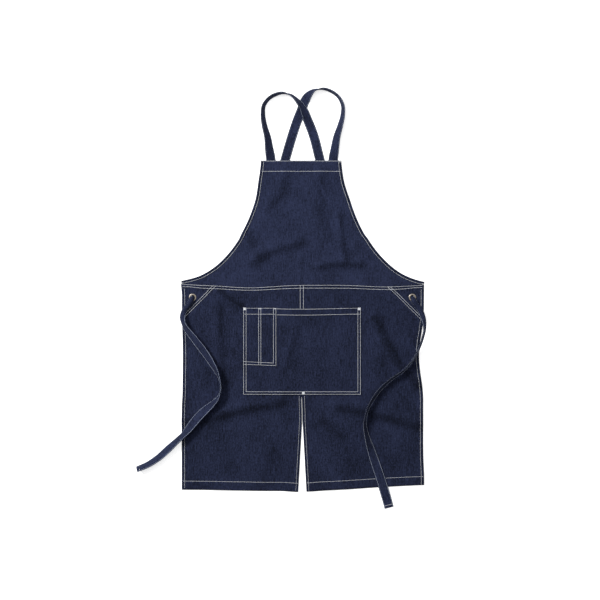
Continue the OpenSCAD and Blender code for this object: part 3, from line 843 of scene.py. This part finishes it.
def make_view():
    """The camera straight above, a bright world, two soft lamps and a paper floor. All in metres."""
    camera_high, width_seen = 4.0, 1.65
    scene = bpy.context.scene
    lens = bpy.data.cameras.new("camera")
    lens.sensor_width = 36
    lens.lens = lens.sensor_width * camera_high / width_seen
    camera = bpy.data.objects.new("camera", lens)
    camera.location = (-0.007, 0.070, camera_high)
    scene.collection.objects.link(camera)
    scene.camera = camera
    scene.view_settings.view_transform = "Standard"
    scene.view_settings.look = "None"

    world = bpy.data.worlds.new("studio")
    world.use_nodes = True
    world.node_tree.nodes["Background"].inputs["Color"].default_value = (1, 1, 1, 1)
    world.node_tree.nodes["Background"].inputs["Strength"].default_value = 0.30
    scene.world = world
    middle = Vector((0, 0.05, 0))
    for name, place, size, power in (("key", (-3.0, 2.3, 3.8), 1.3, 287), ("fill", (0.1, 1.0, 2.4), 1.5, 14)):
        light = bpy.data.lights.new(name, "AREA")
        light.size = size
        light.energy = power
        lamp = bpy.data.objects.new(name, light)
        lamp.location = place
        lamp.rotation_euler = (middle - Vector(place)).to_track_quat("-Z", "Y").to_euler()
        scene.collection.objects.link(lamp)

    bpy.ops.mesh.primitive_plane_add(size=60, location=(0, 0, -0.0002))
    floor = bpy.context.object
    floor.name = "floor"
    bpy.ops.object.transform_apply(location=True)
    bpy.ops.object.select_all(action="DESELECT")
    paper = Finish("paper", {"Base Color": (0.93, 0.93, 0.93, 1), "Roughness": 0.9, "Specular IOR Level": 0.1,
                             "Emission Color": (1, 1, 1, 1), "Emission Strength": 0.62})
    floor.data.materials.append(paper.material)


make_view()

# ---------------------------------------------------------------- the four straps

FOLD_Z = 4.0               # height given to the ends of the waist and fold blends
WAIST_BLEND = dict(start=(0, (WAIST - 6) * MM, FOLD_Z * MM), end=(0, (WAIST + 6) * MM, FOLD_Z * MM))


def make_shoulder(side, route):
    """A shoulder strap: its loop, then its run behind the bib to the opposite eyelet."""
    name = SIDE_NAMES[side]
    strap = Strap(f"{name}_shoulder_strap_cloth", route, thick=1.6)
    piece = strap.make()
    places = np.arange(30, strap.along[-1] - 16, STITCH_PITCH)
    thread = stitch_mesh(f"{name}_shoulder_strap_stitches", strap.stitches(places), BLUED_THREAD, wide=0.5)
    for part in (piece, thread):
        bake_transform(part)
    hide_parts(f"{name}_shoulder_strap", f"{SIDE_NAMES[-side]}_strap_run")


def make_tie(side, route):
    """A waist tie: up through its eyelet, over the flange and across the skirt."""
    name = SIDE_NAMES[side]
    ex, ey = EYELETS[side]
    away = np.array([route[1][0] - ex, route[1][1] - ey])
    away = away / np.linalg.norm(away)
    passage = [(ex, ey, 1.6, 0, 5.0), (ex + 0.3 * away[0], ey + 0.3 * away[1], 4.5, 0, 5.0),
               (ex + 2.5 * away[0], ey + 2.5 * away[1], 9.0, 0, 4.8)]

    def ground(x, y):
        """Height of the skirt under the tie, just clear of it."""
        over = (np.abs(x) < np.abs(side_x(side, y)) + 6) & (y > hem_y(side, x) - 6)
        high = np.max([lie(x + dx, y + dy) for dx in (-9, 0, 9) for dy in (-9, 0, 9)], 0)
        return np.where(over, high + 0.9, 0)

    strap = Strap(f"{name}_tie_cloth", route, start=passage, thick=1.7, ground=ground)
    piece = strap.make()
    places = np.arange(10, strap.along[-1] - 2, STITCH_PITCH)
    thread = stitch_mesh(f"{name}_tie_stitches", strap.stitches(places), BLUED_THREAD, wide=0.85)
    last = len(strap.along) - 4
    middle, across, up = strap.centre[last], strap.u[last], strap.v[last]
    bars = [(middle + a * across + strap.thick / 2 * up, across, up) for a in np.arange(-10.5, 11, 2.6)]
    tack = stitch_mesh(f"{name}_tie_end_stitches", bars, long=2.5)
    for part in (piece, thread, tack):
        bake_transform(part)
    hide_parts(f"{name}_tie")
    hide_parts(f"{name}_tie_tack")
    ex * MM
    ey * MM


make_shoulder(LEFT, LEFT_LOOP)
make_shoulder(RIGHT, RIGHT_LOOP)
make_tie(LEFT, LEFT_TAIL)
make_tie(RIGHT, RIGHT_TAIL)

# ---------------------------------------------------------------- skirt and bib

FOLD_BLEND = dict(start=(0, (FOLD + 8) * MM, FOLD_Z * MM), end=(0, (FOLD - 8) * MM, FOLD_Z * MM))


def settle(piece, body, slot, *nodes):
    """Makes a piece ride on one body and hides these CAD nodes."""
    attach(piece, body)
    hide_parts(*nodes)


def bend(piece, a, b, across, slot, *nodes):
    """Bakes a piece's placement into its mesh and hides these CAD nodes."""
    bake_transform(piece)
    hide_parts(*nodes)


def strip_under(name, side, x, y):
    """The turned layers of a skirt half's hem, under its face."""
    top = skirt_front(side, x, y)[0] - CLOTH_T - HEM_GAP
    thick = np.minimum(HEM_T, np.maximum(top - BACK_GAP, 0.5))
    return cloth(name, x, y, top, thick, None, np.full(x.shape, HEM_WEAR))


bib = make_bib()
skirts = {side: make_skirt(side) for side in (LEFT, RIGHT)}
bindings = {side: make_binding(side) for side in (LEFT, RIGHT)}


def make_hems(side):
    """Turned-under layers of a side, its slit and its bottom edge."""
    name = SIDE_NAMES[side]
    flap = f"{name}_flap"
    y = np.linspace(WAIST - 1, FOLD, 78)[:, None]
    d = np.array([0.9, 1.4, 2.5, 5, 7, 8, 9, 9.7, SIDE_HEM])[None, :]
    x = side_x(side, y) - side * d
    side_hem = strip_under(f"{name}_side_hem_cloth", side, x, y + 0 * x)
    bend(side_hem, "skirt", flap, FOLD_BLEND, "denim", f"{name}_side_hem")

    y = np.linspace(FOLD, -HALF_H + 4, 64)[:, None]
    for label, x in (("outer", side_x(side, y) - side * d), ("slit", slit_x(side, y) + side * d)):
        low = hem_y(side, x) + 1
        edge = strip_under(f"{name}_flap_{label}_hem_cloth", side, x, np.maximum(y + 0 * x, low))
        bend(edge, "skirt", flap, FOLD_BLEND, "denim", f"{name}_flap_edge_hems")

    s = np.linspace(0, 1, 90)[None, :]
    up = np.array([0.9, 1.4, 2.5, 6, 12, 18, 22, 23.3, HEM_H])[:, None]
    inner, outer = slit_x(side, -HALF_H), side_x(side, -HALF_H)
    x = inner + side * (SIDE_HEM + 0.4) + (outer - inner - side * 21) * s
    hem = strip_under(f"{name}_hem_cloth", side, x + 0 * up, hem_y(side, x) + up)
    bend(hem, "skirt", flap, FOLD_BLEND, "denim", f"{name}_flap_hem")


for side in (LEFT, RIGHT):
    make_hems(side)


def make_top_hem():
    """The turned layer behind the bib's top hem."""
    x = np.linspace(-BIB_HALF_W + 8, BIB_HALF_W - 8, 70)[None, :]
    d = np.array([0.9, 1.5, 3, 8, 15, 22, 28, 29.3, TOP_HEM])[:, None]
    y = HALF_H - d
    x, y = x + 0 * y, y + 0 * x
    top = bib_front(x, y)[0] - CLOTH_T - HEM_GAP
    hem = cloth("bib_top_hem_cloth", x, y, top, 0.8, None, np.full(top.shape, HEM_WEAR))
    settle(hem, "bib", "denim", "bib_top_hem")


make_top_hem()


# ---------------------------------------------------------------- patches and pockets

def patch_front(side, x, y):
    """Height of a corner patch's face, which is pressed level around its eyelet, and the offset of its
    colour, with shade painted along its diagonal edge and out to its inner row of stitches.
    """
    d_diag = (side_x(side, WAIST) * side - side * x + (WAIST - y) - PATCH_LEG[side]) / -math.sqrt(2)
    z = skirt_front(side, x, y)[0] + 0.8
    near = 1 - ease((np.hypot(x - EYELETS[side][0], y - EYELETS[side][1]) - 11) / 8)
    z = z * (1 - near) + PATCH_FRONT * near
    z -= roll_off(d_diag, 0.9) + groove(d_diag, 2, 0.3) + groove(d_diag, 7.5, 0.3)
    # painted shade: darker along the diagonal edge and out to the inner row of stitches
    return z, -0.2 * (1 - ease((d_diag - 8) / 2)) - 0.4 * (1 - ease(d_diag / 3))


def make_patch(side):
    """A triangle sewn on a waist corner, with its hole for the eyelet."""
    leg = PATCH_LEG[side]
    rows = spaced(leg, True, False, 2.6)
    t = np.linspace(0, 1, 44)
    y = WAIST - 0.4 - (leg - 0.4) * rows[:, None]
    outer = side_x(side, y) - side * 0.5
    inner = side * (HALF_W - leg + (WAIST - y)) + 0 * outer
    inner = np.where(side * inner > side * outer - 0.4, outer - side * 0.4, inner)
    x = outer + (inner - outer) * t[None, :]
    keep, x, y = open_hole(x, y + 0 * x, side, 7.0, 0.8)
    front, wear_and_painted_light = patch_front(side, x, y)
    return cloth(f"{SIDE_NAMES[side]}_corner_patch_cloth", x, y, front, 0.75, keep, wear_and_painted_light)


def pocket_front(x, y):
    """Front of the pocket: sewn down on three sides, slack inside, its mouth a little open."""
    left, low, right, high = POCKET
    d_l, d_r, d_b, d_t = x - left, right - x, y - low, high - y
    d = np.minimum(np.minimum(d_l, d_r), d_b)
    z = lie(x, y) + 1.5
    thick = np.maximum(1 - ease((d - 9.5) / 2.5), 1 - ease((d_t - 18) / 2.5))
    z += 0.6 * thick
    slack = ease((d - 9) / 40)
    z += slack * (0.9 + 0.5 * ripple(x, y, 60, 11))
    z += 1.5 * ease((d - 6) / 60) * (1 - ease(d_t / 60))
    z += pucker(x + y, d, 9, 0.22, 8) + pucker(x, d_t, 18, 0.15, 9)
    z -= groove(d, 1.5, 0.3) + groove(d, 8.5, 0.3) + groove(d_t, 18, 0.3) + groove(d_t, 1.8, 0.25)
    z -= roll_off(d, 1.1) + roll_off(d_t, 1.1)
    # painted shade: darker in the folds, between the two edge rows, along the sewn edges and in a band below
    # the mouth hem
    between = np.exp(-((d - 5) / 3) ** 2)
    below_hem = np.exp(-((d_t - 20) / 3) ** 2)
    return z, 0.8 * shade(x, y) - 0.08 * between - 0.35 * (1 - ease(d / 3)) - 0.3 * below_hem


def pen_low(x):
    """Bottom edge of the pen pocket, which runs down a little to the right."""
    return PEN[1] + 1.2 - 3.4 * (x - PEN[0]) / (PEN[2] - PEN[0])


def pen_front(x, y):
    """Front of the pen pocket: two slots that bulge a little beside the divider seam."""
    left, low, right, high = PEN
    mid = (left + right) / 2
    d_l, d_r, d_b, d_t, d_m = x - left, right - x, y - pen_low(x), high - y, np.abs(x - mid)
    d = np.minimum(np.minimum(d_l, d_r), d_b)
    z = pocket_front(np.clip(x, POCKET[0] + 2, None), np.minimum(y, high - 2))[0] + 0.9
    thick = np.maximum(1 - ease((d - 9.5) / 2.5), 1 - ease((d_t - 18) / 2.5))
    z += 0.5 * thick + 1.1 * ease((d - 8) / 12) * ease((d_m - 3) / 10)
    z -= (groove(d, 1.5, 0.35) + groove(d, 8.5) + groove(d_m, 3, 0.5)
          + groove(d_t, 18) + groove(d_t, 1.8, 0.25))
    z -= roll_off(d, 1.0) + roll_off(d_t, 1.0)
    # painted shade: darker between the edge rows, beside the divider seam and along the sewn edges
    between = np.exp(-((d - 5) / 3) ** 2) + np.exp(-(d_m / 2.5) ** 2)
    return z, -0.12 * between - 0.3 * (1 - ease(d / 3))


def mouth_sag(x, left, right, depth):
    """How far a pocket's mouth hangs below its corners."""
    s = np.clip((x - left) / (right - left), 0, 1)
    return depth * np.sin(np.pi * s) ** 2


def make_pocket(name, box, face, sag, step, bottom):
    """A pocket over its box, with a sagging mouth and its own bottom edge."""
    left, low, right, high = box
    columns = left + (right - left) * spaced(right - left, True, True, step)
    rows = spaced(high - low, True, True, step)
    x = np.repeat(columns[None, :], len(rows), 0)
    top = high + MOUTH_RISE - mouth_sag(x, left, right, sag)
    y = bottom(x) + (top - bottom(x)) * rows[:, None]
    front, wear_and_painted_light = face(x, y)
    return cloth(name, x, y, front, CLOTH_T, None, wear_and_painted_light)


patches = {side: make_patch(side) for side in (LEFT, RIGHT)}
pocket = make_pocket("pocket_cloth", POCKET, pocket_front, POCKET_SAG, 3.2, lambda x: POCKET[1] + 0 * x)
pen_pocket = make_pocket("pen_pocket_cloth", PEN, pen_front, 0.6, 2.2, pen_low)

# ---------------------------------------------------------------- seams

bib_face = surface(bib, *bindings.values())
skirt_face = surface(*skirts.values(), *patches.values())
pocket_face = surface(pocket, pen_pocket)


def thread_piece(name, stitches, body, *nodes):
    """Stitches that ride on one body."""
    settle(stitch_mesh(name, stitches), body, "thread", *nodes)


def sew_skirt():
    """Waist rows, centre seam, patches, and the hems of the sides, the slit and the bottom."""
    waist = []
    xs = np.linspace(-HALF_W + 4, HALF_W - 4, 120)
    for drop, closer in ((2, 0), (9.4, 2)):
        waist.append(np.stack([xs, WAIST - drop + closer * ease((abs(xs) - 260) / 60)], 1))
    thread_piece("waist_stitches", sew(skirt_face, waist), "skirt", "waist_stitching")
    centre = [straight((x, WAIST - 2), (x, POCKET[3] - 2)) for x in (SEAM_X - SEAM_ROW, SEAM_X + SEAM_ROW)]
    thread_piece("centre_seam_stitches", sew(skirt_face, centre), "skirt", "centre_seam_stitching")
    patch = []
    for side in (LEFT, RIGHT):
        for inset in (2, 7.5):
            shift = inset * math.sqrt(2)
            leg = PATCH_LEG[side]
            patch.append(straight((side * (HALF_W - leg + shift + 2), WAIST - 2),
                                  (side * (HALF_W - 4), WAIST - leg + shift + 4)))
    thread_piece("corner_patch_stitches", sew(skirt_face, patch), "skirt", "patch_stitching")
    for side in (LEFT, RIGHT):
        name = SIDE_NAMES[side]
        ys = np.linspace(WAIST - 12, -HALF_H + 6, 120)
        outer = np.stack([side_x(side, ys) - side * SIDE_ROW, ys], 1)
        ys = np.linspace(FOLD + 4, -HALF_H - 0.5, 60)
        slit = [np.stack([slit_x(side, ys) + side * SLIT_ROW, ys], 1)]
        if side == LEFT:
            ys = np.linspace(FOLD + 2, CLOSED_Y - 8, 20)
            slit.append(np.stack([slit_x(side, ys) - 1.2, ys], 1))
        xs = np.linspace(slit_x(side, -HALF_H) + side * 1.5, side_x(side, -HALF_H) - side * 1.5, 60)
        hem = np.stack([xs, hem_y(side, xs) + HEM_H], 1)
        nodes = (f"{name}_flap_stitching", "side_hem_stitching")
        for label, lines, wide in (("skirt_hem", [outer, hem], 0.95), ("slit_hem", slit, 0.8)):
            thread = stitch_mesh(f"{name}_{label}_stitches", sew(skirt_face, lines), wide=wide)
            bend(thread, "skirt", f"{name}_flap", FOLD_BLEND, "thread", *nodes)


def sew_bib():
    """Armhole rows with a tack over each waist corner, and the top hem with the tack at its right end."""
    line = arm_inset(7.4)
    line = line[(line[:, 1] > WAIST + 1) & (line[:, 1] < HALF_H - 1)]
    sides = [np.stack([side * line[:, 0], line[:, 1]], 1) for side in (LEFT, RIGHT)]
    corner_face = surface(bib, *bindings.values(), *skirts.values())
    tacks = [straight((x, WAIST + 5), (x, WAIST - 11)) for x in (5 - HALF_W, HALF_W - 5)]
    thread = stitch_mesh("armhole_stitches", sew(bib_face, sides) + sew(corner_face, tacks, 3.0), wide=0.95)
    bend(thread, "skirt", "bib", WAIST_BLEND, "thread", "armhole_stitching")
    w = BIB_HALF_W - 2
    rows = [straight((-w, HALF_H - d), (w, HALF_H - d)) for d in (1.8, TOP_HEM)]
    rows += [straight((BIB_HALF_W - 5, HALF_H - k), (BIB_HALF_W - 1, HALF_H - k)) for k in (2, 3.2, 4.4)]
    thread_piece("bib_hem_stitches", sew(bib_face, rows), "bib", "bib_hem_stitching")


EDGE_ROWS = (1.6, 8.5)     # rows of stitches, in from a pocket's edge
MOUTH_ROWS = (1.8, 18)     # and down from its mouth


def sew_front_pocket():
    """Two rows around the front pocket and two along its mouth; the bar tacks beside them come from
    sew_tacks().
    """
    left, low, right, high = POCKET
    lines = []
    for d in EDGE_ROWS:
        lines.append(straight((left + d, PEN[1]), (left + d, low + d), (right - d, low + d),
                              (right - d, high - 1)))
    xs = np.linspace(PEN[2] + 1, right - 2, 50)
    mouth = high + MOUTH_RISE - mouth_sag(xs, left, right, POCKET_SAG)
    lines += [np.stack([xs, mouth - d], 1) for d in MOUTH_ROWS]
    thread_piece("pocket_stitches", sew(pocket_face, lines), "skirt", "pocket_stitching")


def sew_pen_pocket():
    """Rows around the pen pocket, its divider and its mouth, with short bars at the tops of the seams."""
    left, low, right, high = PEN
    mid = (left + right) / 2
    lines = [straight((left + d, high - 1), (left + d, low + 1)) for d in EDGE_ROWS]
    for d in EDGE_ROWS:
        lines.append(straight((left + 1, pen_low(left) + 1.1 * d), (right - d, pen_low(right) + d),
                              (right - d, high - 1)))
    lines += [straight((x, low + 2), (x, high)) for x in (mid - 3, mid + 3)]
    mouth = high + MOUTH_RISE
    lines += [straight((left + 1, mouth - d), (right - 1, mouth - d)) for d in MOUTH_ROWS]
    for x in (mid, right - 5):
        lines += [straight((x - 3.5, y), (x + 3.5, y)) for y in (high - 1, high - 1 - 1.2)]
    thread_piece("pen_pocket_stitches", sew(pocket_face, lines), "skirt", "pen_pocket_stitching")


def sew_tacks():
    """Bar tacks at the front pocket's corners and at the top of the slit."""
    left, low, right, high = POCKET
    for name, x, y, size in (("pocket_left_tack", left + 4.5, high - 1.5, 6.5),
                             ("pocket_right_tack", right - 4.5, high - 1.5, 6.5),
                             ("slit_tack", SEAM_X + 4, low + 5, 6)):
        settle(bar_tack(pocket_face, x, y, size, f"{name}_stitches"), "skirt", "thread", name)


sew_skirt()
sew_bib()
sew_front_pocket()
sew_pen_pocket()
sew_tacks()

# ---------------------------------------------------------------- the cloth pieces that hide their CAD parts, and the patches and pockets that ride on the skirt

bend(bib, "skirt", "bib", WAIST_BLEND, "denim", "bib_panel")
for side, binding in bindings.items():
    bend(binding, "skirt", "bib", WAIST_BLEND, "denim", f"{SIDE_NAMES[side]}_armhole_binding")
for side, skirt in skirts.items():
    name = SIDE_NAMES[side]
    bend(skirt, "skirt", f"{name}_flap", FOLD_BLEND, "denim", f"{name}_skirt_panel", f"{name}_flap_panel")
    settle(patches[side], "skirt", "denim", f"{name}_corner_patch")
settle(pocket, "skirt", "denim", "pocket_panel")
settle(pen_pocket, "skirt", "denim", "pen_pocket")


# ---------------------------------------------------------------- eyelets

def spun_ring(name, x, y, z, radius, wide, high):
    """A ring of oval section, spun about the eyelet's axis."""
    axis, centre = (x * MM, y * MM, z * MM), ((x + radius) * MM, y * MM, z * MM)
    bpy.ops.mesh.primitive_circle_add(vertices=14, radius=wide / 2 * MM, location=centre,
                                      rotation=(math.pi / 2, 0, 0))
    ring = bpy.context.object
    ring.name = name
    bpy.ops.object.transform_apply(location=True, rotation=True, scale=True)
    bpy.ops.object.mode_set(mode="EDIT")
    bpy.ops.mesh.select_all(action="SELECT")
    bpy.ops.transform.resize(value=(1, 1, high / wide), center_override=centre)
    bpy.ops.mesh.spin(steps=56, angle=2 * math.pi, center=axis, axis=(0, 0, 1))
    bpy.ops.mesh.select_all(action="SELECT")
    bpy.ops.mesh.remove_doubles(threshold=1e-6)
    bpy.ops.mesh.normals_make_consistent(inside=False)
    bpy.ops.object.mode_set(mode="OBJECT")
    return ring


def make_eyelet(side):
    """A pressed eyelet: rolled flange over the patch, neck through the cloth, rolled foot on the washer."""
    name = f"{SIDE_NAMES[side]}_eyelet"
    (_, _, foot), (_, _, top) = cad(name)
    x, y = EYELETS[side]
    neck_r, wall = 6.6, 0.6
    flange_wide, flange_high, roll_wide, roll_high = 4.3, 1.6, 1.8, 1.0
    flange = spun_ring(f"{name}_metal", x, y, top - flange_high / 2, 8.05, flange_wide, flange_high)
    roll = spun_ring(f"{name}_roll", x, y, foot + roll_high / 2, 7.0, roll_wide, roll_high)
    bpy.ops.mesh.primitive_cylinder_add(
        vertices=56, radius=neck_r * MM, depth=(top - foot - 1.2) * MM, end_fill_type="NOTHING",
        location=(x * MM, y * MM, (top + foot) / 2 * MM))
    neck = bpy.context.object
    bpy.ops.object.transform_apply(location=True, rotation=True, scale=True)
    shell = neck.modifiers.new("wall", "SOLIDIFY")
    shell.thickness = wall * MM
    bpy.ops.object.modifier_apply(modifier=shell.name)
    for part in (flange, roll, neck):
        part.select_set(True)
    bpy.context.view_layer.objects.active = flange
    bpy.ops.object.join()
    bpy.ops.object.shade_smooth_by_angle(angle=math.radians(50))
    flange.data.materials.append(NICKEL)
    bpy.ops.object.select_all(action="DESELECT")
    settle(flange, "skirt", "eyelet_metal", name)


for side in (LEFT, RIGHT):
    make_eyelet(side)
    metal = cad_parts[f"{SIDE_NAMES[side]}_eyelet_washer"]
    metal.data.materials.clear()
    metal.data.materials.append(NICKEL)
